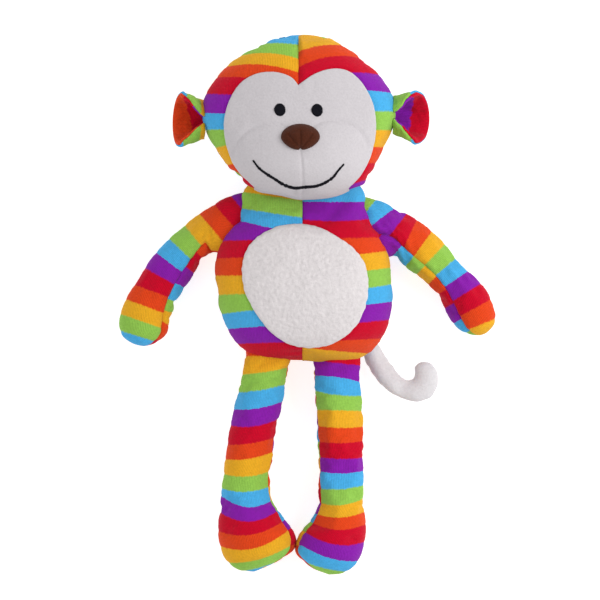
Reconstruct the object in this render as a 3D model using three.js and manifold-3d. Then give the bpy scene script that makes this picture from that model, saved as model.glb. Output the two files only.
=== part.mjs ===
// A striped plush monkey, lying on its back: sewn fabric covers over loose fibre stuffing.
// Millimetres. +X is the toy's left side, +Y its head, +Z its front. The table it lies on is z = 0.
// Every stuffed piece is lofted through stations. A station is a line across the piece from one edge
// to the other, with the height of the seam and how far the piece bulges in front of it and behind it.
import * as THREE from "three";
import { mergeVertices } from "three/addons/utils/BufferGeometryUtils.js";
import Module from "manifold-3d";

const wasm = await Module();
wasm.setup();

// ---------------------------------------------------------------- driving dimensions
const FABRIC = 2.0; // knitted cover, with its pile
const GAP = 0.3; // between pieces that touch
const STITCH = 1.0; // how far embroidery stands up
const LEAST_ROOM = 0.5; // thinnest stuffing
const ROOM = 3.0; // how far a cutting solid reaches past what it cuts
const PINCH = 2.2; // half the thickness of a limb where it is sewn shut
const PLAN_SHIFT = [-1, 4.2]; // puts the middle of the outline over the origin
const TORSO_SEAM_X = -2.5; // the seam down the middle of the torso
const HEAD_SEAM_X = -5.5; // the seam down the middle of the head
const FAR = 400; // larger than the toy

// Heights that lie between a skin's front and its back, from which flat pieces are cut upwards.
const BELLY_CUT = 30;
const FACE_CUT = 40;
const STITCH_CUT = 50;

// ---------------------------------------------------------------- facets
const WELD = 1e-4; // points closer than this are one
const TORSO_FACETS = { rings: 11, sides: 16 };
const HEAD_FACETS = { rings: 12, sides: 18 };
const ARM_FACETS = { rings: 11, sides: 10 };
const LEG_FACETS = { rings: 11, sides: 10 };
const TAIL_FACETS = { rings: 11, sides: 8 };
const EAR_FACETS = { rows: 4, columns: 8 };
const NOSE_FACETS = [14, 10];
const FACE_POINTS = 28;
const BELLY_SEGMENTS = 20;
const EYE_SEGMENTS = 8;
const MOUTH_STEPS = 14;

// ---------------------------------------------------------------- outlines
// Each row: one edge's x, y; the other edge's x, y; seam height; bulge in front; bulge behind.
const TORSO = [
  [-2, 84, -2, 84, 28, 0, 0],
  [-34, 83, 31, 83, 28, 7, 8],
  [-43, 79, 40, 79, 29, 12, 14],
  [-46, 69, 43, 69, 30, 20, 22],
  [-51, 56, 47.5, 56, 30, 28, 27],
  [-58.5, 44, 54.5, 44, 30, 34, 30],
  [-64.5, 30, 60, 30, 30, 38, 31.2],
  [-65, 10, 62.5, 10, 30, 42, 31.2],
  [-60.5, -10, 61, -10, 30, 41, 31.2],
  [-53, -25, 54, -26, 30, 34, 29],
  [-44, -34, 44.5, -35.5, 29, 22, 22],
  [-30, -39, 31, -40.5, 28, 10, 10],
  [-1.5, -41.5, -1.5, -41.5, 28, 0, 0],
];
const HEAD = [
  [-5, 193.5, -5, 193.5, 40, 0, 0],
  [-22, 191.5, 12, 191.5, 40, 11, 11],
  [-39, 184.5, 29, 184.5, 40, 22, 22],
  [-55, 174, 45, 174, 40, 31, 32],
  [-68, 160, 58, 160, 40, 38, 39],
  [-75.5, 143, 65, 143, 40, 42, 41.2],
  [-74, 126, 63.5, 126, 41, 46, 42.2],
  [-66, 111, 56.5, 111, 43, 47, 42],
  [-56, 97, 48, 97, 49, 40, 29],
  [-44, 85.5, 38, 85.5, 57, 25, 10],
  [-30, 78.5, 22, 78.5, 60, 14, 5],
  [-4, 74, -4, 74, 60, 0, 0],
];
const ARM_RIGHT = [
  [-49, 79, -67.5, 35, 28, PINCH, PINCH],
  [-60, 73, -71.5, 34.5, 25, 7, 8],
  [-72, 65, -74, 31.5, 22, 12, 13.5],
  [-86, 55, -79, 26, 19, 15, 17],
  [-100, 42, -84, 18, 17.5, 16, 18.2],
  [-112, 28.5, -91, 8, 17, 15.5, 17.8],
  [-122.5, 14, -96.5, -2, 17, 15.5, 17.8],
  [-131, 0.5, -99, -9, 17, 16, 17.8],
  [-136, -13, -100, -15.5, 17, 16.5, 17.8],
  [-135, -25, -103, -25.5, 17, 14.5, 16],
  [-128.5, -31.5, -110, -31.5, 17, 9.5, 10.5],
  [-119, -34.3, -119, -34.3, 17, 0, 0],
];
const ARM_LEFT = [
  [46.5, 75, 63.5, 33, 28, PINCH, PINCH],
  [57, 70, 67.5, 32, 25, 7, 8],
  [70, 63, 68, 29, 22, 12, 13.5],
  [85, 54, 74, 24, 19, 15, 17],
  [97, 44.5, 83, 17, 17.5, 16, 18.2],
  [109.5, 31, 91.5, 9.5, 17, 15.5, 17.8],
  [121, 19.5, 99, 2, 17, 15.5, 17.8],
  [132, 8, 104, -7, 17, 16, 17.8],
  [138.5, -6, 108, -16, 17, 16.5, 17.8],
  [138, -16.5, 113.5, -21.5, 17, 13.5, 15],
  [134, -22.5, 120, -24.8, 17, 9, 10],
  [128, -25.8, 128, -25.8, 17, 0, 0],
];
const LEG_RIGHT = [
  [-46, -45.5, -12, -45.5, 28, PINCH, PINCH],
  [-47, -54, -13.5, -54, 25.5, 6.5, 8],
  [-49, -66, -15.5, -65, 22.5, 12, 13.5],
  [-51, -80, -18, -78, 20, 16.5, 18],
  [-57.5, -110, -23.5, -108, 18.5, 18, 19.3],
  [-60.5, -135, -26, -133, 18.5, 18, 19.3],
  [-62, -151, -24.5, -147, 19, 19.5, 19.8],
  [-63.5, -166, -15.5, -161, 20.5, 22.5, 21.3],
  [-63, -178, -8.5, -171.5, 21.5, 23, 22.3],
  [-60, -187.5, -7.4, -180, 22, 21, 21],
  [-53, -196, -15, -188.5, 22, 15, 15],
  [-38, -199.5, -38, -199.5, 22, 0, 0],
];
const LEG_LEFT = [
  [40, -46.5, 5, -46.5, 28, PINCH, PINCH],
  [40, -56, 6, -56, 25.5, 6.5, 8],
  [39.5, -67, 6.5, -67, 22.5, 12, 13.5],
  [39.5, -81, 6.5, -81, 20, 16.5, 18],
  [41.5, -110, 8, -110, 18.5, 18, 19.3],
  [42, -135, 8.5, -135, 18.5, 18, 19.3],
  [42, -151, 9, -150, 19, 19.5, 19.8],
  [43, -165, 4, -164, 20.5, 22.5, 21.3],
  [42, -178, -4, -174, 21.5, 23, 22.3],
  [39, -189, -6.6, -183, 22, 21, 21],
  [31.5, -198, 1, -192.5, 22, 15, 15],
  [17, -202, 17, -202, 22, 0, 0],
];
const TAIL = [
  [41, -37, 50.5, -33, 5.5, PINCH, PINCH],
  [42, -43, 53, -37, 6.6, 4.5, 5.2],
  [44.5, -50, 56, -43, 7, 6.6, 7.6],
  [51.5, -58.5, 61, -49.5, 7, 6.8, 7.8],
  [60, -66.5, 67, -56.5, 7, 7, 7.8],
  [70, -72.5, 72.5, -60.5, 7, 7, 7.8],
  [80, -75, 76, -60.5, 7, 7.2, 7.8],
  [90, -71.5, 79, -57.5, 7, 7.4, 7.8],
  [95.5, -63, 80, -54, 7, 7.4, 7.8],
  [96, -54, 80.5, -50.5, 7, 7, 7.4],
  [91.5, -48.5, 83.5, -47.5, 7, 4.5, 5],
  [87.5, -46.8, 87.5, -46.8, 7, 0, 0],
];

// Flat pieces, drawn from the front.
const FACE_EDGE = [
  [-5.5, 158], [-16, 165], [-30, 167.5], [-46, 161], [-57, 148], [-60.5, 133], [-59, 117],
  [-53.5, 102], [-45.5, 89], [-36, 78], [-4, 60], [30, 78], [40, 89], [46.5, 102],
  [50.5, 117], [51.5, 133], [49, 148], [40, 162], [24, 170], [6, 165.5],
];
const FACE_DIP = 0; // the heart's notch is at the first point
const BELLY = { at: [-1, 10.5], size: [46, 45.5] };
const EYE = { x: [-19, 8], y: 138.5, size: [4, 4.8] };
const NOSE = { at: [-4.5, 119, 87.5], size: [14.6, 9.6, 10.5] };
const MOUTH = [[-39, 101.5], [-31, 91], [-18, 83.8], [-5, 81.5], [8, 83], [19.5, 88.5], [27.5, 99]];
const MOUTH_WIDTH = 1.8;

// An ear is a round flap whose top and bottom edges curl forwards and meet at its root.
// Its radius and its curl change from root to rim, faster at the root where the powers are below 1.
const EAR = { root: 11, rim: 19.5, rootCurl: 2.45, rimCurl: 1.15, height: 41, rise: 5.5, bow: 0.22 };
const EAR_POWERS = { radius: 0.8, curl: 0.7 };
const EAR_RIGHT = { from: [-79, 134], to: [-97.5, 131.5], side: -1 };
const EAR_LEFT = { from: [69, 136], to: [91, 133.5], side: 1 };

// Angle of the front seam of a limb, from the edge beside the body or the other leg.
const SEAM_ANGLES = { armRight: 0.9, armLeft: 1.2, leg: 0.35, tail: 0 };

// How blunt the sections are: 2 is an ellipse, more is boxier.
const ROUND = 2;
const FULL = 2.3;

// ---------------------------------------------------------------- solids
function solidFrom(positions, triangles) {
  const kept = mergeVertices(
    new THREE.BufferGeometry()
      .setAttribute("position", new THREE.BufferAttribute(new Float32Array(positions.flat()), 3))
      .setIndex(triangles.flat()),
    WELD,
  );
  const index = kept.index.array;
  const whole = [];
  for (let i = 0; i < index.length; i += 3) {
    const [a, b, c] = [index[i], index[i + 1], index[i + 2]];
    if (a !== b && b !== c && a !== c) whole.push(a, b, c);
  }
  const vertProperties = kept.attributes.position.array;
  const make = (order) =>
    new wasm.Manifold(new wasm.Mesh({ numProp: 3, vertProperties, triVerts: new Uint32Array(order) }));
  const solid = make(whole);
  return solid.volume() > 0 ? solid : make(whole.reverse());
}

function solidOf(geometry) {
  const bare = geometry.clone();
  for (const name of Object.keys(bare.attributes)) if (name !== "position") bare.deleteAttribute(name);
  const merged = mergeVertices(bare, WELD);
  return new wasm.Manifold(
    new wasm.Mesh({
      numProp: 3,
      vertProperties: merged.attributes.position.array,
      triVerts: new Uint32Array(merged.index.array),
    }),
  );
}

function geometryOf(solid) {
  const mesh = solid.getMesh();
  const geometry = new THREE.BufferGeometry()
    .setAttribute("position", new THREE.BufferAttribute(new Float32Array(mesh.vertProperties), 3))
    .setIndex(new THREE.BufferAttribute(new Uint32Array(mesh.triVerts), 1));
  geometry.computeVertexNormals();
  return geometry;
}

// A closed tube through rings of equally many points, shut at both ends.
function loft(rings) {
  const count = rings[0].length;
  const points = rings.flat();
  const triangles = [];
  rings.slice(1).forEach((_, i) => {
    for (let j = 0; j < count; j++) {
      const [a, b] = [i * count + j, i * count + ((j + 1) % count)];
      triangles.push([a, b, b + count], [a, b + count, a + count]);
    }
  });
  const shut = (row, flip) => {
    const centre = points.length;
    const ring = rings[row];
    points.push([0, 1, 2].map((k) => ring.reduce((sum, p) => sum + p[k], 0) / count));
    for (let j = 0; j < count; j++) {
      const [a, b] = [row * count + j, row * count + ((j + 1) % count)];
      triangles.push(flip ? [centre, b, a] : [centre, a, b]);
    }
  };
  shut(0, true);
  shut(rings.length - 1, false);
  return solidFrom(points, triangles);
}

// A plate between two grids of points.
function plate(top, bottom) {
  const [rows, columns] = [top.length, top[0].length];
  const points = [...top.flat(), ...bottom.flat()];
  const under = rows * columns;
  const at = (i, j) => i * columns + j;
  const triangles = [];
  const quad = (a, b, c, d) => triangles.push([a, b, c], [a, c, d]);
  for (let i = 0; i + 1 < rows; i++) {
    for (let j = 0; j + 1 < columns; j++) {
      quad(at(i, j), at(i + 1, j), at(i + 1, j + 1), at(i, j + 1));
      quad(under + at(i, j), under + at(i, j + 1), under + at(i + 1, j + 1), under + at(i + 1, j));
    }
    quad(at(i, 0), under + at(i, 0), under + at(i + 1, 0), at(i + 1, 0));
    const last = columns - 1;
    quad(at(i, last), at(i + 1, last), under + at(i + 1, last), under + at(i, last));
  }
  for (let j = 0; j + 1 < columns; j++) {
    quad(at(0, j), at(0, j + 1), under + at(0, j + 1), under + at(0, j));
    const last = rows - 1;
    quad(at(last, j), under + at(last, j), under + at(last, j + 1), at(last, j + 1));
  }
  return solidFrom(points, triangles);
}

// ---------------------------------------------------------------- stuffed pieces
// Stations at even steps along smooth curves through the rows.
function stations(rows, count) {
  const column = (...keys) => {
    const points = rows.map((row) => new THREE.Vector3(...keys.map((k) => row[k])));
    return new THREE.CatmullRomCurve3(points, false, "centripetal");
  };
  const first = column(0, 1, 4);
  const second = column(2, 3, 5);
  const third = column(4, 5, 6);
  return Array.from({ length: count + 1 }, (_, i) => {
    const t = i / count;
    const [a, b, c] = [first.getPoint(t), second.getPoint(t), third.getPoint(t)];
    return { from: [a.x, a.y], to: [b.x, b.y], seam: c.x, front: Math.max(c.y, 0), back: Math.max(c.z, 0) };
  });
}

const middle = (s) => [(s.from[0] + s.to[0]) / 2, (s.from[1] + s.to[1]) / 2];
const halfWidth = (s) => Math.hypot(s.to[0] - s.from[0], s.to[1] - s.from[1]) / 2;

// The same stations for a skin that lies `depth` under the first one, or outside it if negative. Where a
// piece is sewn shut there is no room inside it, so those stations are left out. A rounded end moves in.
function inset(list, depth) {
  const roomy = (s) => Math.min(halfWidth(s), s.front, s.back) > FABRIC + GAP + LEAST_ROOM;
  const kept = depth > 0 ? list.filter(roomy) : list;
  const last = kept.length - 1;
  return kept.map((s, i) => {
    const rounded = halfWidth(list[i === 0 ? 0 : list.length - 1]) < 0.01;
    const next = i === 0 && rounded ? 1 : i === last && rounded ? last - 1 : i;
    const [here, there] = [middle(s), middle(kept[next])];
    const step = Math.hypot(there[0] - here[0], there[1] - here[1]) || 1;
    const shift = [((there[0] - here[0]) / step) * depth, ((there[1] - here[1]) / step) * depth];
    const half = halfWidth(s);
    const shrink = half > 0.01 ? (half - depth) / half : 0;
    const across = [((s.to[0] - s.from[0]) / 2) * shrink, ((s.to[1] - s.from[1]) / 2) * shrink];
    const centre = [here[0] + shift[0], here[1] + shift[1]];
    return {
      from: [centre[0] - across[0], centre[1] - across[1]],
      to: [centre[0] + across[0], centre[1] + across[1]],
      seam: s.seam,
      front: half > 0.01 ? s.front - depth : 0,
      back: half > 0.01 ? s.back - depth : 0,
    };
  });
}

// A point on a station's rim. The angle runs from the `to` edge over the front to the `from` edge.
function rim(s, angle, blunt) {
  const power = 2 / blunt;
  const across = Math.sign(Math.cos(angle)) * Math.abs(Math.cos(angle)) ** power;
  const up = Math.sign(Math.sin(angle)) * Math.abs(Math.sin(angle)) ** power;
  return [
    (s.from[0] + s.to[0]) / 2 + ((s.to[0] - s.from[0]) / 2) * across,
    (s.from[1] + s.to[1]) / 2 + ((s.to[1] - s.from[1]) / 2) * across,
    s.seam + up * (up > 0 ? s.front : s.back),
  ];
}

const wholeSkin = (list, sides, blunt) =>
  loft(list.map((s) => Array.from({ length: sides }, (_, j) => rim(s, (2 * Math.PI * j) / sides, blunt))));

// The front half of the space around a skin, up to the seam at that angle. `short` stops it short of
// the seam, or takes it past the seam if `short` is negative.
function frontHalf(list, sides, blunt, seamAngle, short) {
  const steps = sides / 2;
  const wide = inset(list, -ROOM);
  return loft(
    wide.map((s) => {
      const spread = Math.hypot(s.to[0] - s.from[0], s.to[1] - s.from[1]) || 1;
      const across = [(s.to[0] - s.from[0]) / spread, (s.to[1] - s.from[1]) / spread];
      const lift = [-across[0] * Math.sin(seamAngle), -across[1] * Math.sin(seamAngle), Math.cos(seamAngle)];
      return Array.from({ length: steps + 1 }, (_, j) =>
        rim(s, seamAngle + (Math.PI * j) / steps, blunt).map((v, k) => v + lift[k] * short),
      );
    }),
  );
}

// A skin's cover, as its front and back pieces.
function covers(list, sides, blunt, seamAngle) {
  const shell = wholeSkin(list, sides, blunt).subtract(wholeSkin(inset(list, FABRIC), sides, blunt));
  return [
    shell.intersect(frontHalf(list, sides, blunt, seamAngle, GAP / 2)),
    shell.subtract(frontHalf(list, sides, blunt, seamAngle, -GAP / 2)),
  ];
}

function box(low, high) {
  const size = high.map((v, k) => v - low[k]);
  const centre = high.map((v, k) => (v + low[k]) / 2);
  return solidOf(new THREE.BoxGeometry(...size).translate(...centre));
}

const table = box([-FAR, -FAR, -FAR], [FAR, FAR, 0]);
const rightOf = (x) => box([-FAR, -FAR, -FAR], [x - GAP / 2, FAR, FAR]);
const leftOf = (x) => box([x + GAP / 2, -FAR, -FAR], [FAR, FAR, FAR]);

// ---------------------------------------------------------------- the toy
const toy = new THREE.Group();
toy.position.set(PLAN_SHIFT[0], PLAN_SHIFT[1], 0);

const stripe = (color) => new THREE.MeshStandardMaterial({ color, roughness: 0.95, metalness: 0 });
const MATERIALS = {
  stripes: stripe(0xd8412f),
  stripesCool: stripe(0x4fa8dc),
  white: stripe(0xe9e4e2),
  fleece: stripe(0xe6e2dd),
  nose: stripe(0x5b2b14),
  thread: new THREE.MeshStandardMaterial({ color: 0x14141c, roughness: 0.6, metalness: 0 }),
  fibre: stripe(0xf2f1ee),
};

// The largest piece of a cut, since thin slivers can fall off at a pinched edge.
function largest(solid) {
  return solid.decompose().reduce((best, part) => (part.volume() > best.volume() ? part : best));
}

function addPiece(name, solid, material) {
  const mesh = new THREE.Mesh(geometryOf(largest(solid)), MATERIALS[material]);
  mesh.name = name;
  toy.add(mesh);
}

// Two covers and their stuffing, from one outline.
function stuffedLimb(name, rows, { rings, sides, seamAngle, names, material }) {
  const outer = stations(rows, rings);
  const [front, back] = covers(outer, sides, ROUND, seamAngle);
  addPiece(`${name}_${names[0]}`, front.subtract(table), material);
  addPiece(`${name}_${names[1]}`, back.subtract(table), material);
  addPiece(`${name}_stuffing`, wholeSkin(inset(outer, FABRIC + GAP), sides, ROUND).subtract(table), "fibre");
}

const torsoStations = stations(TORSO, TORSO_FACETS.rings);
const torsoSkin = (depth) => wholeSkin(inset(torsoStations, depth), TORSO_FACETS.sides, FULL);
const headStations = stations(HEAD, HEAD_FACETS.rings);
const headSkin = (depth) => wholeSkin(inset(headStations, depth), HEAD_FACETS.sides, FULL);

function addTorso() {
  const [front, back] = covers(torsoStations, TORSO_FACETS.sides, FULL, 0);
  for (const [side, half] of [["right", rightOf(TORSO_SEAM_X)], ["left", leftOf(TORSO_SEAM_X)]]) {
    const material = side === "right" ? "stripes" : "stripesCool";
    addPiece(`body_front_${side}`, front.intersect(half), material);
    addPiece(`body_back_${side}`, back.intersect(half).subtract(table), material);
  }
  addPiece("body_stuffing", torsoSkin(FABRIC + GAP).subtract(table), "fibre");
  const disc = new THREE.Shape().absellipse(...BELLY.at, ...BELLY.size, 0, 2 * Math.PI);
  const above = prism(disc, BELLY_CUT, FAR, BELLY_SEGMENTS);
  const patch = torsoSkin(-FABRIC - GAP).subtract(torsoSkin(-GAP)).intersect(above);
  addPiece("belly_patch", patch, "fleece");
}

// A prism of a flat shape, from one height to another.
function prism(shape, low, high, curveSegments = 1) {
  const settings = { depth: high - low, curveSegments, bevelEnabled: false };
  return solidOf(new THREE.ExtrudeGeometry(shape, settings).translate(0, 0, low));
}

// A closed smooth outline through points, with one sharp corner at the first.
function outline(points, grow) {
  const middle = [0, 1].map((k) => points.reduce((sum, p) => sum + p[k] / points.length, 0));
  const grown = points.map((p) => {
    const [dx, dy] = [p[0] - middle[0], p[1] - middle[1]];
    const k = 1 + grow / Math.hypot(dx, dy);
    return new THREE.Vector2(middle[0] + dx * k, middle[1] + dy * k);
  });
  return new THREE.Shape(new THREE.SplineCurve([...grown, grown[FACE_DIP]]).getPoints(FACE_POINTS));
}

// A ribbon of constant width along a smooth line through points.
function ribbon(points, width, steps) {
  const line = new THREE.SplineCurve(points.map((p) => new THREE.Vector2(...p)));
  const side = (sign) =>
    Array.from({ length: steps + 1 }, (_, i) => {
      const t = i / steps;
      const tangent = line.getTangent(t);
      const at = line.getPoint(t);
      return new THREE.Vector2(at.x - (tangent.y * sign * width) / 2, at.y + (tangent.x * sign * width) / 2);
    });
  return new THREE.Shape([...side(1), ...side(-1).reverse()]);
}

function addHead() {
  const [front, back] = covers(headStations, HEAD_FACETS.sides, FULL, 0);
  const faceHole = prism(outline(FACE_EDGE, GAP / 2), FACE_CUT, FAR);
  for (const [side, half] of [["right", rightOf(HEAD_SEAM_X)], ["left", leftOf(HEAD_SEAM_X)]]) {
    const material = side === "right" ? "stripes" : "stripesCool";
    addPiece(`head_front_${side}`, front.intersect(half).subtract(faceHole), material);
    addPiece(`head_back_${side}`, back.intersect(half).subtract(table), material);
  }
  addPiece("face_panel", front.intersect(prism(outline(FACE_EDGE, -GAP / 2), FACE_CUT, FAR)), "white");
  addPiece("head_stuffing", headSkin(FABRIC + GAP).subtract(table), "fibre");

  const stitches = headSkin(-GAP - STITCH).subtract(headSkin(-GAP));
  ["right", "left"].forEach((side, i) => {
    const disc = new THREE.Shape().absellipse(EYE.x[i], EYE.y, ...EYE.size, 0, 2 * Math.PI);
    addPiece(`eye_${side}`, stitches.intersect(prism(disc, STITCH_CUT, FAR, EYE_SEGMENTS)), "thread");
  });
  const lips = ribbon(MOUTH, MOUTH_WIDTH, MOUTH_STEPS);
  addPiece("mouth", stitches.intersect(prism(lips, STITCH_CUT, FAR)), "thread");

  const dome = (shrink) =>
    solidOf(
      new THREE.SphereGeometry(1, ...NOSE_FACETS)
        .scale(...NOSE.size.map((v) => v - shrink))
        .translate(...NOSE.at),
    );
  const clear = headSkin(-GAP);
  addPiece("nose_pad", dome(0).subtract(dome(FABRIC)).subtract(clear), "nose");
  addPiece("nose_stuffing", dome(FABRIC + GAP).subtract(clear), "fibre");
}

function addEar(name, ear, materials) {
  const { rows, columns } = EAR_FACETS;
  const grid = (offset) =>
    Array.from({ length: rows + 1 }, (_, i) => {
      const s = i / rows;
      const radius = EAR.root + (EAR.rim - EAR.root) * s ** EAR_POWERS.radius + offset;
      const curl = EAR.rootCurl + (EAR.rimCurl - EAR.rootCurl) * s ** EAR_POWERS.curl;
      return Array.from({ length: columns + 1 }, (_, j) => {
        const t = (2 * j) / columns - 1;
        const bow = 1 - EAR.bow * t * t * s;
        return [
          ear.from[0] + (ear.to[0] - ear.from[0]) * s * bow,
          ear.from[1] + (ear.to[1] - ear.from[1]) * s + radius * Math.sin(curl * t),
          EAR.height - radius * Math.cos(curl * t) + EAR.rise * s,
        ];
      });
    });
  addPiece(`${name}_back`, plate(grid(FABRIC + GAP / 2), grid(GAP / 2)), materials[0]);
  addPiece(`${name}_front`, plate(grid(-GAP / 2), grid(-FABRIC - GAP / 2)), materials[1]);
}

function addLimbs() {
  const arm = { ...ARM_FACETS, names: ["outer", "inner"] };
  stuffedLimb("arm_right", ARM_RIGHT, { ...arm, seamAngle: SEAM_ANGLES.armRight, material: "stripes" });
  stuffedLimb("arm_left", ARM_LEFT, { ...arm, seamAngle: SEAM_ANGLES.armLeft, material: "stripesCool" });
  const leg = { ...LEG_FACETS, names: ["front", "back"], seamAngle: SEAM_ANGLES.leg };
  stuffedLimb("leg_right", LEG_RIGHT, { ...leg, material: "stripes" });
  stuffedLimb("leg_left", LEG_LEFT, { ...leg, material: "stripesCool" });
  const tail = { ...TAIL_FACETS, names: ["front", "back"], seamAngle: SEAM_ANGLES.tail };
  stuffedLimb("tail", TAIL, { ...tail, material: "white" });
}

addTorso();
addHead();
addEar("ear_right", EAR_RIGHT, ["stripesCool", "stripes"]);
addEar("ear_left", EAR_LEFT, ["stripesCool", "stripes"]);
addLimbs();

export default toy;
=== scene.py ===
import math

import bmesh
import bpy
import numpy as np
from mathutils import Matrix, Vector, noise
from mathutils.bvhtree import BVHTree


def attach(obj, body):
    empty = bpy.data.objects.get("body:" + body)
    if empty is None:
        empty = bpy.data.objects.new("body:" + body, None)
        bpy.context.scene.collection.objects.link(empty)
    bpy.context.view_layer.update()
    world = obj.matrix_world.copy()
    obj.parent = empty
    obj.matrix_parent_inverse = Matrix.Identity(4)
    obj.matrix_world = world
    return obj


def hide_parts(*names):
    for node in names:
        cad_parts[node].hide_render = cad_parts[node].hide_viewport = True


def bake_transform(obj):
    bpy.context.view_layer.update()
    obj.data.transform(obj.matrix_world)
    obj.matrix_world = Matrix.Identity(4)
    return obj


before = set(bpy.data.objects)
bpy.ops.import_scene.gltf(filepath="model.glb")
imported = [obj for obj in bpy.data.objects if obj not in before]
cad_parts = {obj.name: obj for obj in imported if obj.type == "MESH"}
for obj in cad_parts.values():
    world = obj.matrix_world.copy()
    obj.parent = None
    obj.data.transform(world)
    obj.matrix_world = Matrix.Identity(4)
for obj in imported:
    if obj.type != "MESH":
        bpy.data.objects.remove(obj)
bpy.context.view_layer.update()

# A striped plush monkey lying on its back. Outlines are drawn in millimetres on the toy's own plan, and
# to_row() puts them into the row frame. Every stuffed piece is a skin of rings and columns, shaped,
# puffed up by a cloth simulation and then cut along its seams into panels.

MM = 0.001
PLAN_SHIFT = (-1.0, 4.2)  # mm, from the drawing plan to the row frame
CLOTH = 1.3  # mm, thickness of a cover panel
GRID = 1.5  # mm, spacing of points on a cover
UNDER = 3.4  # mm, from a cover's face to the filling inside it
FILLING_GIRTH = 0.45  # share of the widest girth, below which there is no filling
FILLING_START = 5  # first ring that the filling may reach
SIDE_SEAM = 0.2  # radians, how far the side seams lie behind the widest line
ROUND_END = 26.0  # mm, over which folds and swelling fade out towards a rounded end
REST_HEIGHT = 1.6  # mm above the table below which a soft piece flattens

# How the seams and the cloth are worked, in mm unless another unit is given.
RIM_PER_WIDTH = 2.4  # a ring's length over its width, from which the number of columns follows
COLUMN_SET = 12  # columns come in twelves: four panels, each a whole number of coarse steps
NAP = (0.15, 2.2)  # depth and size of the finest bumps
GROOVE = 1.1  # depth of the groove that a seam pulls into the cloth
GROOVE_WIDTH = 1.5
PULL = (0.3, 5.0)  # share of the groove's depth that is felt around it, and how far
PUCKER = 0.616  # height of the gathers beside a seam
PUCKER_AT, PUCKER_WIDTH = 2.5, 4.2  # their distance from the seam, and their spread
PUCKER_RATE = 0.30  # per mm along the seam
STRIPE_DIP = (0.4, 0.11)  # depth of the dent between stripes, and its width as a share of a stripe
BARE_WIDTH = 3.0  # over which a seam fades out under a panel that is sewn on top

# The cloth simulation, which runs on a coarser grid than the skin.
SWELL_STEP = 3  # rings and columns between the simulated ones
SWELL_FRAMES = 20
SWELL_CAP = 1.8  # mm that no point may move beyond
SIDEWAYS = 0.4  # share kept of the movement along the surface
CLOTH_SETTINGS = {
    "quality": 6, "mass": 0.25, "tension_stiffness": 12, "compression_stiffness": 12, "shear_stiffness": 6,
    "bending_stiffness": 0.3, "use_pressure": True, "uniform_pressure_force": 4.0, "shrink_min": -0.03,
    "vertex_group_mass": "pin",
}

STRIPE_COLOURS = {
    "purple": (0.240, 0.012, 0.380),
    "red": (0.570, 0.0015, 0.021),
    "orange": (0.730, 0.058, 0.010),
    "yellow": (0.790, 0.395, 0.018),
    "green": (0.275, 0.540, 0.080),
    "blue": (0.065, 0.405, 0.760),
}

# Stations of each stuffed piece: one edge's x, y; the other edge's x, y; seam height; bulge in front;
# bulge behind. The first and last station of a rounded end is a point.
TORSO = [
    (-2, 95, -2, 95, 26, 0, 0),
    (-25, 93, 22, 93, 26, 7, 9),
    (-36, 89, 33, 89, 28.5, 12, 13.5),
    (-42, 83.5, 39, 83.5, 30, 16, 17),
    (-46, 78, 42.5, 78, 30, 19, 19),
    (-47.5, 68, 44.5, 68, 30, 23, 22.5),
    (-52, 56, 50, 56, 30, 28, 27),
    (-60, 44, 55.5, 44, 30, 34, 30),
    (-65, 30, 60.5, 30, 30, 38, 31.2),
    (-65.3, 10, 62.5, 10, 30, 42, 31.2),
    (-61.5, -8, 61.5, -8, 30, 41, 31.2),
    (-54.5, -24, 57, -24, 30, 35, 29),
    (-46, -35, 47, -37, 29, 24, 23),
    (-33, -41.5, 34, -44, 28, 12, 12),
    (-2.5, -44.5, -2.5, -44.5, 28, 0, 0),
]
HEAD = [
    (-2, 194.2, -2, 194.2, 37.5, 0, 0),
    (-12, 193.3, 9, 193.3, 38.5, 7.5, 4.5),
    (-22.5, 191, 17, 191, 39.5, 13, 11),
    (-36.5, 184.8, 28, 184.8, 40, 22, 22),
    (-53, 174, 42.5, 174, 40, 31, 32),
    (-66.5, 160, 56, 160, 40, 38, 39),
    (-74.8, 143, 64.3, 143, 40, 42, 41.2),
    (-73.5, 127, 63, 127, 41, 46, 42.2),
    (-65.7, 112, 56, 112, 43, 47, 42),
    (-57.3, 99, 50, 99, 49, 41, 30),
    (-50, 91, 45.8, 91, 54, 32, 17),
    (-44, 85, 42, 85, 57, 23.5, 11.5),
    (-35.5, 81, 32, 81, 58.8, 17.5, 8.3),
    (-22.5, 77.3, 20.5, 77.3, 60.3, 10.5, 5.5),
    (-11, 74.6, 9, 74.6, 61, 5, 3),
    (-3.5, 73.3, -3.5, 73.3, 61.3, 0, 0),
]
ARM_RIGHT = [
    (-35, 77, -50, 34, 29, 9, 9),
    (-47, 78, -63, 33.5, 28, 10.5, 10.5),
    (-60, 73, -70, 34.5, 25, 12.5, 12),
    (-72, 66.2, -74, 31.5, 22, 14.5, 14.5),
    (-86, 55.5, -79, 26, 19, 16, 17),
    (-100, 43, -84, 18, 17.5, 16.5, 18.2),
    (-112, 30, -91, 8, 17, 15.5, 17.8),
    (-122.5, 14, -96.5, -2, 17, 15.5, 17.8),
    (-131, 0.5, -99, -9, 17, 16, 17.8),
    (-136, -13, -100.5, -15.5, 17, 16.5, 17.8),
    (-135, -25, -103, -25.5, 17, 14.5, 16),
    (-128.5, -31.5, -110, -31.5, 17, 9.5, 10.5),
    (-119, -34.3, -119, -34.3, 17, 0, 0),
]
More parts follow.
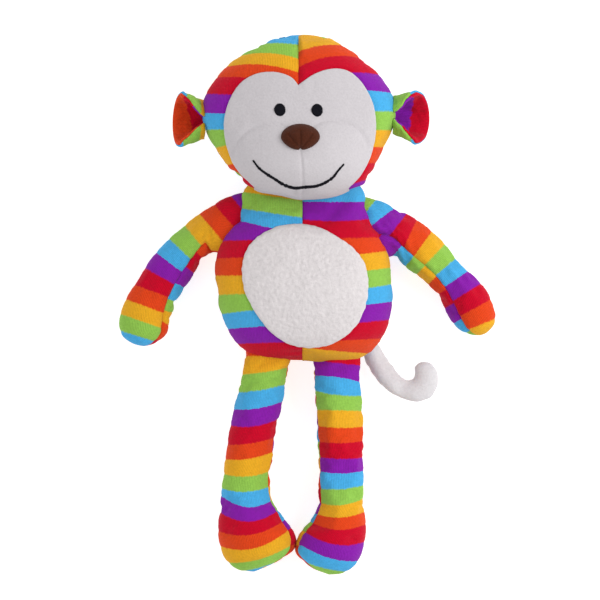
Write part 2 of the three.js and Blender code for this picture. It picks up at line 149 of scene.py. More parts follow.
ARM_LEFT = [
    (31, 73, 47, 31, 29, 9, 9),
    (43, 74.5, 60, 31, 28, 10.5, 10.5),
    (57, 70.5, 65.5, 31.5, 25, 12.5, 12),
    (70, 64, 69, 28, 22, 14.5, 14.5),
    (85, 55, 74.2, 22.6, 19, 16, 17),
    (97, 45.6, 82, 16.2, 17.5, 16.5, 18.2),
    (109.5, 32.5, 90.8, 8.7, 17, 15.5, 17.8),
    (121, 20.5, 98.6, 0.5, 17, 15.5, 17.8),
    (132, 8, 104, -9, 17, 16, 17.8),
    (138.5, -6, 108.5, -17, 17, 16.5, 17.8),
    (138.4, -17, 114, -22.5, 17, 13.5, 15),
    (134.3, -23, 120, -25.4, 17, 9, 10),
    (128, -26.4, 128, -26.4, 17, 0, 0),
]
LEG_RIGHT = [
    (-44.5, -34, -10, -36, 28, 8, 8),
    (-45, -43, -10.5, -43, 27, 10.5, 10.5),
    (-47, -54, -13, -54, 25.5, 13.5, 13.5),
    (-49.3, -66, -15.3, -65, 22.5, 15.5, 16),
    (-52, -80, -18, -78, 20, 17, 18),
    (-57.5, -110, -23.5, -108, 18.5, 18, 19.3),
    (-60.3, -135, -25.7, -133, 18.5, 18, 19.3),
    (-62, -151, -24, -147, 19, 19.5, 19.8),
    (-63.7, -166, -15.5, -161, 20.5, 22.5, 21.3),
    (-63, -178, -8.7, -171.5, 21.5, 23, 22.3),
    (-60, -187.5, -8, -180, 22, 21, 21),
    (-53, -196, -17, -189.5, 22, 15, 15),
    (-38, -199.8, -38, -199.8, 22, 0, 0),
]
LEG_LEFT = [
    (39, -36, 4.5, -38, 28, 8, 8),
    (40, -45, 5, -45, 27, 10.5, 10.5),
    (40, -56, 5.5, -56, 25.5, 13.5, 13.5),
    (40, -67, 6, -67, 22.5, 15.5, 16),
    (40.3, -81, 6.5, -81, 20, 17, 18),
    (41.3, -110, 8, -110, 18.5, 18, 19.3),
    (41.8, -135, 8.3, -135, 18.5, 18, 19.3),
    (42, -151, 8.3, -150, 19, 19.5, 19.8),
    (43.3, -165, 2.6, -163, 20.5, 22.5, 21.3),
    (42.3, -178, -5.5, -174, 21.5, 23, 22.3),
    (39.3, -189, -7.6, -184, 22, 21, 21),
    (32, -198, 0, -193.5, 22, 15, 15),
    (17, -202, 17, -202, 22, 0, 0),
]
TAIL = [
    (38, -33, 50, -28.5, 9, 5, 5.5),
    (41, -39.5, 54.5, -33.5, 8, 6.6, 6.8),
    (46, -50, 59.5, -42, 7, 7.3, 7.6),
    (52, -58.8, 64.5, -48.8, 7, 7.6, 7.8),
    (60, -66.5, 69, -55.3, 7, 7.8, 7.8),
    (69, -72, 73, -58.3, 7, 6.8, 7.6),
    (79.5, -75.3, 76.8, -58.6, 7, 7.6, 7.8),
    (91, -72.5, 79.3, -56.5, 7, 8, 7.8),
    (97, -63, 79.8, -53.3, 7, 8, 7.8),
    (97, -54, 79.8, -49.8, 7, 7.4, 7.4),
    (92.5, -47.5, 83, -46.5, 7, 5, 5),
    (87.5, -45.8, 87.5, -45.8, 7, 0, 0),
]

# Edges between the stripes of the upright panels, each as its y at three x. The count of stripes is "first"
# at the first edge, and each further edge adds "step" to it. The count modulo six gives the colour.
BANDS = {
    "body_right": {"x": (-62, -32, -3), "first": 3, "step": 1, "edges": [
        (93, 88, 84), (81, 77, 72.5), (69, 64.3, 60), (61, 53.8, 47), (42.8, 43.7, 42), (30.2, 31, 31),
        (17.5, 17.5, 17.5), (3.3, 4.5, 5), (-11, -7.5, -6), (-22.3, -19.8, -18.5), (-33.5, -32, -31.5),
        (-45.5, -44.5, -44),
    ]},
    "body_left": {"x": (-3, 28, 60), "first": 5, "step": 1, "edges": [
        (84, 85, 86), (71.6, 71.6, 71.6), (58.9, 57.7, 61), (44, 44.9, 45.8), (30.5, 32, 35.9),
        (17, 19.5, 23), (4, 6, 10.5), (-8, -5.5, -2), (-20, -18, -15), (-31, -30.2, -28.5),
        (-35, -38.5, -40.5), (-47, -50, -52),
    ]},
    "head_right": {"x": (-66, -36, -6), "first": 6, "step": -1, "edges": [
        (190, 200, 197), (178, 187, 186.8), (173, 180.5, 176.3), (169, 172.3, 166.3), (163, 161.5, 154),
        (150.4, 148.5, 145), (136, 134.5, 133), (124.4, 124.4, 123), (111, 114.5, 113), (96, 101.5, 101),
        (84, 91, 90), (72, 79, 78),
    ]},
    "head_left": {"x": (-6, 26, 58), "first": 4, "step": -1, "edges": [
        (197, 200, 195), (181.3, 186.6, 176), (169.7, 178.6, 170), (157, 165.5, 164.2), (148, 152.8, 152),
        (135, 137, 137.8), (123.7, 123.7, 123.7), (111.5, 111.5, 111.5), (99.5, 99.5, 99.5),
        (79, 81.8, 93.5), (70, 70, 74),
    ]},
    "leg_right": {"x": (-58, -38, -18), "first": 2, "step": 1, "edges": [
        (-30, -29, -30), (-42.5, -41.5, -42.5), (-56, -54.2, -51), (-68.3, -67.2, -63.4),
        (-80.1, -80.2, -75.5), (-91.8, -93, -86.7), (-106.5, -105.3, -99.9), (-117.4, -116.2, -109),
        (-128.7, -129.3, -122.5), (-139.9, -140.5, -133.3), (-147, -152, -142.5), (-159, -162.3, -152.8),
        (-171.8, -172, -163.4), (-182.6, -182.6, -173), (-193.4, -191.7, -184.5), (-201, -198.2, -191.4),
    ]},
    "leg_left": {"x": (5, 23, 41), "first": 14, "step": -1, "edges": [
        (-34, -35, -37), (-44.5, -46.7, -48.6), (-56, -57, -61), (-66.3, -70.1, -70.7),
        (-81.3, -81.3, -81.9), (-92.2, -94.2, -93.5), (-104, -105.3, -104), (-115, -117, -116.3),
        (-125, -127.5, -126), (-138, -139.2, -136.7), (-147.5, -151, -146.6), (-156.5, -159.8, -156.5),
        (-163.8, -168.7, -166), (-174, -180, -178.7), (-185, -191.2, -192), (-195, -199.3, -200),
    ]},
}
# Grain lines of the arms: x, y and the count of stripes up to there. Stripes run square to the line.
GRAIN = {
    "arm_right_outer": [(-40, 82, 0), (-51.7, 72, 1), (-71.6, 55, 3), (-92.8, 37.1, 5), (-107.5, 17.2, 7),
                        (-116.7, -5.5, 9), (-124, -27, 11), (-127, -37, 11.8)],
    "arm_right_inner": [(-56, 49, 4.4), (-68.3, 40.7, 3), (-78.5, 32.7, 2), (-87.3, 23.1, 1),
                        (-94.7, 11.4, 0), (-99.1, -0.4, -1), (-104, -17, -3), (-114, -30, -4.2)],
    "arm_left_outer": [(38, 79, 4), (49.9, 71.3, 5), (66.1, 53.2, 7), (86.6, 41.9, 9),
                       (104.2, 25.3, 11), (118.2, 5.5, 13), (130.6, -17.7, 15), (134, -27, 15.8)],
    "arm_left_inner": [(52, 46, 7.1), (67.1, 35.6, 6), (84.4, 21.7, 4), (99.8, 5.5, 2),
                       (105, -4.8, 1), (111.6, -15.8, 0), (117, -25, -1)],
}


# ---- curves and skins
def hermite(t, a, b, slope_a, slope_b, h=1.0):
    """The cubic from a to b with the given slopes, at shares t of a stretch of length h."""
    return (
        (2 * t**3 - 3 * t**2 + 1) * a
        + (t**3 - 2 * t**2 + t) * h * slope_a
        + (3 * t**2 - 2 * t**3) * b
        + (t**3 - t**2) * h * slope_b
    )


def smooth(points, count):
    """Rows at even steps along a smooth curve through the given rows, whatever their columns hold."""
    p = np.asarray(points, float)
    gaps = np.linalg.norm(np.diff(p, axis=0), axis=1)
    knots = np.concatenate([[0], np.cumsum(gaps)])
    slopes = np.diff(p, axis=0) / gaps[:, None]
    inner = (slopes[:-1] * gaps[1:, None] + slopes[1:] * gaps[:-1, None]) / (gaps[1:] + gaps[:-1])[:, None]
    first, last = 1.5 * slopes[0] - 0.5 * inner[0], 1.5 * slopes[-1] - 0.5 * inner[-1]
    tangents = np.vstack([first, inner, last])
    u = np.linspace(0, knots[-1], count)
    i = np.clip(np.searchsorted(knots, u, side="right") - 1, 0, len(p) - 2)
    t = ((u - knots[i]) / gaps[i])[:, None]
    return hermite(t, p[i], p[i + 1], tangents[i], tangents[i + 1], gaps[i][:, None])


def resample(line, count):
    """Points at even distances along a polyline."""
    steps = np.linalg.norm(np.diff(line, axis=0), axis=1)
    along = np.concatenate([[0], np.cumsum(steps)])
    want = np.linspace(0, along[-1], count)
    return np.column_stack([np.interp(want, along, line[:, k]) for k in range(3)])


def rim(station, blunt, angle):
    """Points of a station's rim. The angle runs from the second edge over the front to the first edge."""
    x1, y1, x2, y2, seam, front, back = station
    across = np.sign(np.cos(angle)) * np.abs(np.cos(angle)) ** (2 / blunt)
    up = np.sign(np.sin(angle)) * np.abs(np.sin(angle)) ** (2 / blunt)
    return np.column_stack([
        (x1 + x2) / 2 + (x2 - x1) / 2 * across,
        (y1 + y2) / 2 + (y2 - y1) / 2 * across,
        seam + up * np.where(up > 0, max(front, 0), max(back, 0)),
    ])


def ring(station, blunt, seams, columns):
    """One ring in mm, with the same number of columns between each seam angle and the next."""
    arcs = []
    each = columns // len(seams)
    for start, end in zip(seams, list(seams[1:]) + [seams[0] + 2 * math.pi]):
        line = rim(station, blunt, np.linspace(start, end, 5 * each))
        arcs.append(resample(line, each + 1)[:-1])
    return np.vstack(arcs)


def to_row(points):
    """Millimetres on the drawing plan to metres in the row frame."""
    p = np.array(points, float)
    p[..., 0] += PLAN_SHIFT[0]
    p[..., 1] += PLAN_SHIFT[1]
    return p * MM


def make_skin(stations, blunt, seams_at):
    """Rings of points in mm for one stuffed piece. seams_at gives a ring's seam angles."""
    rows = np.asarray(stations, float)
    length = np.linalg.norm(np.diff(rows[:, :2] + rows[:, 2:4], axis=0), axis=1).sum() / 2
    widest = max(np.hypot(r[2] - r[0], r[3] - r[1]) for r in stations)
    rings = int((length + rows[:, 5].max()) / GRID)
    columns = COLUMN_SET * int(widest * RIM_PER_WIDTH / GRID / COLUMN_SET)
    listed = smooth(stations, rings)
    return np.array([
        ring(s, blunt, seams_at(s, i / (rings - 1)), columns) for i, s in enumerate(listed)
    ])


def two_seams(steps):
    """Two seams along a limb. Each step is a share of its length and both seams' angles there."""
    shares, first, second = zip(*steps)

    def seams_at(_, share):
        return [float(np.interp(share, shares, first)), float(np.interp(share, shares, second))]

    return seams_at


def four_seams(seam_x, blunt):
    """Seams just behind both sides, and down the front and the back at one x."""

    def seams_at(station, _):
        half = max((station[2] - station[0]) / 2, 1e-6)
        off = np.clip((seam_x - (station[0] + station[2]) / 2) / half, -0.5, 0.5)
        angle = math.acos(math.copysign(abs(off) ** (blunt / 2), off))
        return [-SIDE_SEAM, angle, math.pi + SIDE_SEAM, 2 * math.pi - angle]

    return seams_at


def skin_normals(skin):
    """Outward unit normals of a skin of rings. A rounded end's own point looks along the skin."""
    around = np.roll(skin, -1, axis=1) - np.roll(skin, 1, axis=1)
    normal = np.cross(around, np.gradient(skin, axis=0))
    size = np.linalg.norm(normal, axis=2, keepdims=True)
    normal = normal / np.maximum(size, 1e-9)
    outward = skin - skin.mean(axis=1, keepdims=True)
    if np.sum(outward * normal) < 0:
        normal = -normal
    for end, step in ((0, skin[0].mean(0) - skin[2].mean(0)), (-1, skin[-1].mean(0) - skin[-3].mean(0))):
        normal[end] = np.where(size[end] < 1e-6, step / np.linalg.norm(step), normal[end])
    return normal


def rough(points, size, seed, octaves=2):
    """Smooth noise from -1 to 1 at each point, with features about `size` mm across."""
    flat = points.reshape(-1, 3) / size + seed * 17.3
    values = np.array([noise.fractal(Vector(p), 1.0, 2.0, octaves) for p in flat])
    return values.reshape(points.shape[:-1])


def settle(points):
    """Flattens what would lie in the table."""
    z = points[..., 2]
    points[..., 2] = np.where(z < REST_HEIGHT, REST_HEIGHT * np.exp((z - REST_HEIGHT) / REST_HEIGHT), z)
    return points


def end_fade(skin):
    """0 at the point of a rounded end, rising to 1 away from it."""
    fade = np.ones(skin.shape[:2])
    for end in (0, -1):
        if np.ptp(skin[end], axis=0).max() < 1e-3:
            near = np.clip(np.linalg.norm(skin - skin[end, 0], axis=2) / ROUND_END, 0, 1)
            fade *= near * near * (3 - 2 * near)
    return fade


def lumpy(skin, size, depth, seed):
    """A skin with broad lumps and a fine nap pushed into it."""
    push = depth * rough(skin, size, seed) + NAP[0] * rough(skin, NAP[1], seed)
    return settle(skin + skin_normals(skin) * (push * end_fade(skin))[..., None])


def seam_distance(skin, column):
    """Distance in mm of each point from a seam that runs along one column."""
    steps = np.linalg.norm(np.roll(skin, -1, axis=1) - skin, axis=2)
    total = steps.sum(axis=1, keepdims=True)
    start = np.concatenate([np.zeros_like(total), np.cumsum(steps, axis=1)[:, :-1]], axis=1)
    away = np.abs(start - start[:, column:column + 1])
    return np.minimum(away, total - away)


def sew(skin, seams, depth, seed, weight):
    """Draws a skin in along its seams and gathers the cloth beside them."""
    normal = skin_normals(skin)
    along = np.cumsum(np.linalg.norm(np.gradient(skin.mean(axis=1), axis=0), axis=1))
    push = np.zeros(skin.shape[:2])
    for k, column in enumerate(seams):
        away = seam_distance(skin, column)
        push -= depth * np.exp(-((away / GROOVE_WIDTH) ** 2)) + PULL[0] * depth * np.exp(-away / PULL[1])
        waves = [noise.noise(Vector((s * PUCKER_RATE, 7.7 * k + seed, 0.3))) for s in along]
        push += PUCKER * np.array(waves)[:, None] * np.exp(-(((away - PUCKER_AT) / PUCKER_WIDTH) ** 2))
    return skin + normal * (push * end_fade(skin) * weight)[..., None]


def simulate(points, faces, pins):
    """Lets pressure push a cloth out for some frames. Returns where its points end up, in metres."""
    mesh = bpy.data.meshes.new("swell")
    mesh.from_pydata([tuple(p) for p in points], [], faces)
    form = bpy.data.objects.new("swell", mesh)
    scene = bpy.context.scene
    scene.collection.objects.link(form)
    group = form.vertex_groups.new(name="pin")
    for vertex, weight in enumerate(pins):
        group.add([vertex], float(weight), "REPLACE")
    cloth = form.modifiers.new("cloth", "CLOTH").settings
    for key, value in CLOTH_SETTINGS.items():
        setattr(cloth, key, value)
    cloth.effector_weights.gravity = 0
    for number in range(1, SWELL_FRAMES + 1):
        scene.frame_set(number)
    solved = form.evaluated_get(bpy.context.evaluated_depsgraph_get())
    moved = np.empty(len(points) * 3)
    solved.to_mesh().vertices.foreach_get("co", moved)
    solved.to_mesh_clear()
    bpy.data.objects.remove(form)
    scene.frame_set(1)
    return moved.reshape(-1, 3)


def swell(skin, seams, bare):
    """Puffs a skin up with a cloth simulation, held at its seams wherever they are bare."""
    rows = np.unique(np.append(np.arange(0, skin.shape[0], SWELL_STEP), skin.shape[0] - 1))
    coarse = skin[rows][:, ::SWELL_STEP]
    pins = np.zeros(coarse.shape[:2])
    for column in seams:
        pins[:, column // SWELL_STEP] = 1
    pins *= bare[rows][:, ::SWELL_STEP] > 0.5
    pins[0] = pins[-1] = 1
    points = to_row(coarse.reshape(-1, 3))
    _, first, index = np.unique(np.round(points, 6), axis=0, return_index=True, return_inverse=True)
    index = index.ravel()
    faces = [[int(index[v]) for v in face] for face in grid_faces(*coarse.shape[:2], True)]
    faces = [list(dict.fromkeys(face)) for face in faces]
    moved = simulate(points[first], [f for f in faces if len(f) > 2], pins.ravel()[first])
    shift = ((moved[index] - points) / MM).reshape(coarse.shape)
    normal = skin_normals(skin)[rows][:, ::SWELL_STEP]
    outward = (shift * normal).sum(axis=2, keepdims=True) * normal
    shift = (outward + SIDEWAYS * (shift - outward)) * end_fade(skin)[rows][:, ::SWELL_STEP, None]
    far = np.linalg.norm(shift, axis=2, keepdims=True)
    shift = shift * SWELL_CAP * np.tanh(far / SWELL_CAP) / np.maximum(far, 1e-9)
    return skin + spread(shift, rows, skin.shape[:2])


def spread(shift, rows, shape):
    """A coarse grid of moves, carried over smoothly to every row and column of the fine grid."""
    closed = np.concatenate([shift[:, -2:], shift, shift[:, :3]], axis=1)
    columns = (np.arange(closed.shape[1]) - 2) * SWELL_STEP
    fine = np.stack([cubic(np.arange(shape[1]), columns, closed[..., k].T).T for k in range(3)], axis=2)
    return np.stack([cubic(np.arange(shape[0]), rows, fine[..., k]) for k in range(3)], axis=2)


def cubic(want, have, values):
    """Catmull-Rom interpolation of rows of values."""
    have = np.asarray(have, float)
    i = np.clip(np.searchsorted(have, want, side="right") - 1, 0, len(have) - 2)
    t = ((want - have[i]) / (have[i + 1] - have[i]))[:, None]
    before, after = np.maximum(i - 1, 0), np.minimum(i + 2, len(have) - 1)
    a, b = values[i], values[i + 1]
    return hermite(t, a, b, (b - values[before]) / 2, (values[after] - a) / 2)


def work_cloth(skin, seams, seed, lumps, groove=GROOVE, bare=None):
    """Puffs a skin up, sews its seams and makes it lumpy. bare is 0 where a seam isn't felt."""
    if bare is None:
        bare = np.ones(skin.shape[:2])
    skin = swell(skin, seams, bare)
    skin = sew(skin, seams, groove, seed, bare)
    return lumpy(skin, *lumps, seed)


# ---- stripes
def stripe_count(points, name):
    """How many stripes lie before each point of a panel."""
    flat = points.reshape(-1, points.shape[-1])[:, :2]
    count = band_count(flat, BANDS[name]) if name in BANDS else grain_count(flat, GRAIN[name])
    return count.reshape(points.shape[:-1])


def band_count(flat, bands):
    """Stripe counts between edges that are each a parabola through three points."""
    a, b, c = bands["x"]
    margin = 8  # mm past the outer points, from where the parabolas are held level
    x = np.clip(flat[:, 0], a - margin, c + margin)
    wa = (x - b) * (x - c) / ((a - b) * (a - c))
    wb = (x - a) * (x - c) / ((b - a) * (b - c))
    wc = (x - a) * (x - b) / ((c - a) * (c - b))
    heights = np.stack([ya * wa + yb * wb + yc * wc for ya, yb, yc in bands["edges"]])
    above = np.clip((heights > flat[:, 1]).sum(axis=0) - 1, 0, len(heights) - 2)
    pick = np.arange(len(flat))
    top, low = heights[above, pick], heights[above + 1, pick]
    return bands["first"] + bands["step"] * (above + (top - flat[:, 1]) / (top - low))


def grain_count(flat, grain):
    """Stripe counts square to a line."""
    line = smooth(grain, 160)
    tangent = np.gradient(line, axis=0)
    speed = np.maximum(np.linalg.norm(tangent[:, :2], axis=1), 1e-9)
    near = np.argmin(((flat[:, None, :] - line[None, :, :2]) ** 2).sum(axis=2), axis=1)
    ahead = ((flat - line[near, :2]) * tangent[near, :2]).sum(axis=1) / speed[near] ** 2
    return line[near, 2] + ahead * tangent[near, 2]


# ---- meshes
def new_mesh_object(name, vertices, faces, values=None):
    """A mesh object in metres, smooth shaded, with float values on its points."""
    mesh = bpy.data.meshes.new(name)
    mesh.from_pydata([tuple(v) for v in vertices], [], [tuple(f) for f in faces])
    for key, data in (values or {}).items():
        mesh.attributes.new(key, "FLOAT", "POINT").data.foreach_set("value", np.asarray(data, np.float32))
    work = bmesh.new()
    work.from_mesh(mesh)
    bmesh.ops.remove_doubles(work, verts=work.verts, dist=1e-7)
    bmesh.ops.dissolve_degenerate(work, edges=work.edges, dist=1e-8)
    bmesh.ops.recalc_face_normals(work, faces=work.faces)
    work.to_mesh(mesh)
    work.free()
    mesh.polygons.foreach_set("use_smooth", [True] * len(mesh.polygons))
    thing = bpy.data.objects.new(name, mesh)
    bpy.context.scene.collection.objects.link(thing)
    return thing


def grid_faces(rows, columns, wrap):
    """The squares between neighbouring points of a grid. wrap joins the last column to the first."""
    faces = []
    for i in range(rows - 1):
        for j in range(columns if wrap else columns - 1):
            k = (j + 1) % columns
            faces.append((i * columns + j, i * columns + k, (i + 1) * columns + k, (i + 1) * columns + j))
    return faces


def sheet_solid(name, outer, inner, values=None, wrap=False):
    """A thin closed solid between two grids of points in mm. wrap joins the last column to the first."""
    rows, columns = outer.shape[:2]
    count = rows * columns
    top = grid_faces(rows, columns, wrap)
    under = [tuple(count + v for v in reversed(f)) for f in top]
    border = []
    for i in (0, rows - 1):
        for j in range(columns if wrap else columns - 1):
            a, b = i * columns + j, i * columns + (j + 1) % columns
            border.append((a, b, count + b, count + a))
    if not wrap:
        for j in (0, columns - 1):
            for i in range(rows - 1):
                a, b = i * columns + j, (i + 1) * columns + j
                border.append((a, b, count + b, count + a))
    points = to_row(np.vstack([outer.reshape(-1, 3), inner.reshape(-1, 3)]))
    doubled = {key: np.concatenate([v.ravel(), v.ravel()]) for key, v in (values or {}).items()}
    return new_mesh_object(name, points, top + under + border, doubled)


def panel(name, skin, normal, columns, grain=None, count_shift=0):
    """The part of a skin between two seams, as a cloth panel."""
    outer = skin[:, columns]
    facing = normal[:, columns]
    ribs = np.cumsum(np.linalg.norm(np.diff(outer, axis=1, prepend=outer[:, :1]), axis=2), axis=1)
    values = {"rib": ribs}
    if grain is not None:
        count = stripe_count(outer, grain) + count_shift
        values["stripe"] = count
        edge = np.abs(count - np.round(count))
        outer = outer - facing * (STRIPE_DIP[0] * np.exp(-((edge / STRIPE_DIP[1]) ** 2)))[..., None]
    return sheet_solid(name, outer, outer - facing * CLOTH, values)


def filling(name, skin, normal, step=3):
    """Loose stuffing inside a skin, as one lumpy closed solid that stops short of the narrow ends."""
    girth = np.linalg.norm(np.roll(skin, -1, axis=1) - skin, axis=2).sum(axis=1)
    kept = np.flatnonzero(girth > FILLING_GIRTH * girth.max())
    rows = slice(max(kept[0], FILLING_START), kept[-1] + 1, step)
    inside = (skin - normal * UNDER)[rows, ::step]
    inside = inside + normal[rows, ::step] * (0.35 * rough(inside, 9, 5) - 0.3)[..., None]
    rows, columns = inside.shape[:2]
    caps = [tuple(range(columns)), tuple((rows - 1) * columns + j for j in reversed(range(columns)))]
    return new_mesh_object(name, to_row(inside.reshape(-1, 3)), grid_faces(rows, columns, True) + caps)


# ---- materials
def node_tree(name):
    """A new material, its node tree and its shader."""
    material = bpy.data.materials.new(name)
    material.use_nodes = True
    tree = material.node_tree
    shader = tree.nodes["Principled BSDF"]
    return material, tree, shader


def add(tree, kind, inputs=None, **settings):
    """A node with its settings and inputs; an input is a value or another node's output."""
    node = tree.nodes.new(kind)
    for key, value in settings.items():
        setattr(node, key, value)
    for key, value in (inputs or {}).items():
        if isinstance(value, bpy.types.NodeSocket):
            tree.links.new(value, node.inputs[key])
        else:
            node.inputs[key].default_value = value
    return node


def maths(tree, operation, a, b=0.0):
    """The output of a maths node."""
    return add(tree, "ShaderNodeMath", {0: a, 1: b}, operation=operation).outputs[0]


def pile_noise(tree, scale, detail=3.0):
    """Noise in the object's own space, which stands for the tufts of a pile."""
    place = add(tree, "ShaderNodeTexCoord")
    inputs = {"Vector": place.outputs["Object"], "Scale": scale, "Detail": detail}
    return add(tree, "ShaderNodeTexNoise", inputs).outputs["Fac"]


def cloth_surface(tree, shader, colour, relief, painted_shade_range, bump, sheen, roughness):
    """Cloth with a pile: its relief raises it, and painted shade darkens its colour between the tufts."""
    limits = dict(zip(("From Min", "From Max", "To Min", "To Max"), painted_shade_range))
    # Painted shade: the colour is darkened where the relief is low.
    painted_shade = add(tree, "ShaderNodeMapRange", {"Value": relief, **limits}).outputs["Result"]
    mixed = {MIX_SHARE: 1.0, MIX_A: colour, MIX_B: painted_shade}
    colour_with_painted_shade = add(tree, "ShaderNodeMix", mixed, data_type="RGBA", blend_type="MULTIPLY")
    tree.links.new(colour_with_painted_shade.outputs[MIX_RESULT], shader.inputs["Base Color"])
    raised = add(tree, "ShaderNodeBump", {"Strength": bump[0], "Distance": bump[1], "Height": relief})
    tree.links.new(raised.outputs["Normal"], shader.inputs["Normal"])
    shader.inputs["Roughness"].default_value = roughness
    shader.inputs["Specular IOR Level"].default_value = 0.1
    shader.inputs["Sheen Weight"].default_value = sheen
    shader.inputs["Sheen Roughness"].default_value = 0.45


def stripe_ramp(tree, turn):
    """The stripes' colours, one after another, with narrow blends between them."""
    ramp = add(tree, "ShaderNodeValToRGB", {"Fac": turn})
    elements = ramp.color_ramp.elements
    ramp.color_ramp.interpolation = "LINEAR"
    elements.remove(elements[1])
    stripes = len(STRIPE_COLOURS)
    for k, colour in enumerate(STRIPE_COLOURS.values()):
        for edge in (k / stripes + (STRIPE_BLEND if k else 0), (k + 1) / stripes - STRIPE_BLEND):
            stop = elements[0] if k == 0 and edge == 0 else elements.new(edge)
            stop.position = edge
            stop.color = (*colour, 1)
    return ramp.outputs["Color"]


def striped_velour():
    """Striped pile on a ribbed knit. The pile frays the stripes' edges."""
    material, tree, shader = node_tree("striped_velour")
    fuzz = pile_noise(tree, 620.0)
    fine = pile_noise(tree, 1900.0, 1.0)
    count = add(tree, "ShaderNodeAttribute", attribute_name="stripe").outputs["Fac"]
    fray = maths(tree, "MULTIPLY", maths(tree, "SUBTRACT", fuzz, 0.5), STRIPE_FRAY)
    frayed = maths(tree, "ADD", count, fray)
    stripes = len(STRIPE_COLOURS)
    turn = maths(tree, "DIVIDE", maths(tree, "FLOORED_MODULO", frayed, stripes), stripes)
    colour = stripe_ramp(tree, turn)
    rib = add(tree, "ShaderNodeAttribute", attribute_name="rib").outputs["Fac"]
    wave = maths(tree, "SINE", maths(tree, "MULTIPLY", rib, 2 * math.pi / RIB_PITCH))
    # The ribs and the tufts also bring painted shade: the colour is darker in their grooves.
    relief = maths(tree, "ADD", maths(tree, "MULTIPLY", wave, 0.3), maths(tree, "ADD", fuzz, fine))
    cloth_surface(tree, shader, colour, relief, (0.55, 1.45, 0.80, 1.10), (0.55, 0.0006), 0.05, 0.95)
    return material


def plain_cloth(name, colour, scale, depth, sheen, roughness, painted_shade_low=0.86):
    """A one-colour pile fabric: painted shade darkens it between the tufts that also raise it."""
    material, tree, shader = node_tree(name)
    tufts = pile_noise(tree, scale)
    fine = pile_noise(tree, scale * 3.1, 1.0)
    relief = maths(tree, "ADD", tufts, maths(tree, "MULTIPLY", fine, 0.6))
    # Painted shade: the colour is darkened most where the tufts are lowest.
    painted_shade_range = (0.5, 1.1, painted_shade_low, 1.04)
    cloth_surface(tree, shader, (*colour, 1), relief, painted_shade_range, (0.6, depth), sheen, roughness)
    return material


MIX_SHARE, MIX_A, MIX_B, MIX_RESULT = 0, 6, 7, 2  # sockets of a Mix node that mixes colours
STRIPE_BLEND = 0.006  # share of the whole run of colours
STRIPE_FRAY = 0.16  # of a stripe
RIB_PITCH = 1.25  # mm

VELOUR = striped_velour()
WHITE = plain_cloth("white_velour", (0.56, 0.53, 0.55), 700.0, 0.0004, 0.05, 0.95, 0.9)
TAIL_WHITE = plain_cloth("white_plush", (0.67, 0.645, 0.66), 520.0, 0.0006, 0.05, 0.95, 0.9)
FLEECE = plain_cloth("curly_fleece", (0.68, 0.64, 0.645), 420.0, 0.0009, 0.06, 0.95, 0.87)
BROWN = plain_cloth("brown_velour", (0.078, 0.019, 0.008), 900.0, 0.0005, 0.06, 0.85, 0.6)
THREAD = plain_cloth("black_thread", (0.004, 0.004, 0.008), 1500.0, 0.0002, 0.0, 0.6)
FIBRE = plain_cloth("polyester_fibre", (0.80, 0.79, 0.77), 300.0, 0.001, 0.1, 0.95)


def finish_piece(piece, material, slot, nodes):
    """Gives a piece its material and hides the CAD nodes that it stands for. slot is not used."""
    piece.data.materials.append(material)
    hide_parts(*nodes)
    return piece


# ---- limbs
# Seams are steps of two_seams(). Parts give each panel's stripes and how many are added to their count. The
# joint is a stretch, in plan mm, between the torso and the limb; no piece is bent over it.
LIMBS = {
    "arm_right": {
        "stations": ARM_RIGHT, "slot": "stripes", "seed": 2, "joint": ((-56, 56, 28), (-76, 42, 28)),
        "seams": [(0, 0.2, 4.1), (0.15, 0.25, 4.1), (0.23, 1.15, 4.2), (0.5, 0.9, 4.0), (0.75, 0.7, 3.8),
                  (1, 0.6, 3.7)],
        "parts": {"outer": ("arm_right_outer", 0), "inner": ("arm_right_inner", 0)},
    },
    "arm_left": {
        "stations": ARM_LEFT, "slot": "stripes_cool", "seed": 3, "joint": ((53, 53, 28), (73, 40, 28)),
        "seams": [(0, 1.35, 4.3), (0.15, 1.35, 4.3), (0.3, 1.15, 4.3), (0.5, 1.15, 4.3), (0.7, 0.85, 4.0),
                  (1, 0.8, 3.9)],
        "parts": {"outer": ("arm_left_outer", 0), "inner": ("arm_left_inner", 0)},
    },
    "leg_right": {
        "stations": LEG_RIGHT, "slot": "stripes", "seed": 4, "joint": ((-29, -43, 28), (-30, -64, 28)),
        "seams": [(0, -0.3, 3.7), (0.35, -0.1, 3.7), (0.55, 0.3, 3.7), (0.8, 0.4, 3.7), (1, 0.0, 3.5)],
        "parts": {"front": ("leg_right", 0), "back": ("leg_right", 4)},
    },
    "leg_left": {
        "stations": LEG_LEFT, "slot": "stripes_cool", "seed": 6, "joint": ((22, -44, 28), (22, -65, 28)),
        "seams": [(0, -0.2, 3.7), (0.2, 0.15, 3.7), (0.45, 0.35, 3.7), (0.7, 0.4, 3.7), (1, 0.0, 3.5)],
        "parts": {"front": ("leg_left", 0), "back": ("leg_left", 3)},
    },
    "tail": {
        "stations": TAIL, "slot": "white", "seed": 7, "joint": ((46, -34, 7), (53, -46, 7)), "groove": 0.5,
        "seams": [(0, 0, math.pi), (1, 0, math.pi)],
        "parts": {"front": (None, 0), "back": (None, 0)},
    },
}
LIMB_BLUNT = 2.0  # a plain ellipse
LIMB_LUMPS = (16, 0.5)  # mm across, mm high


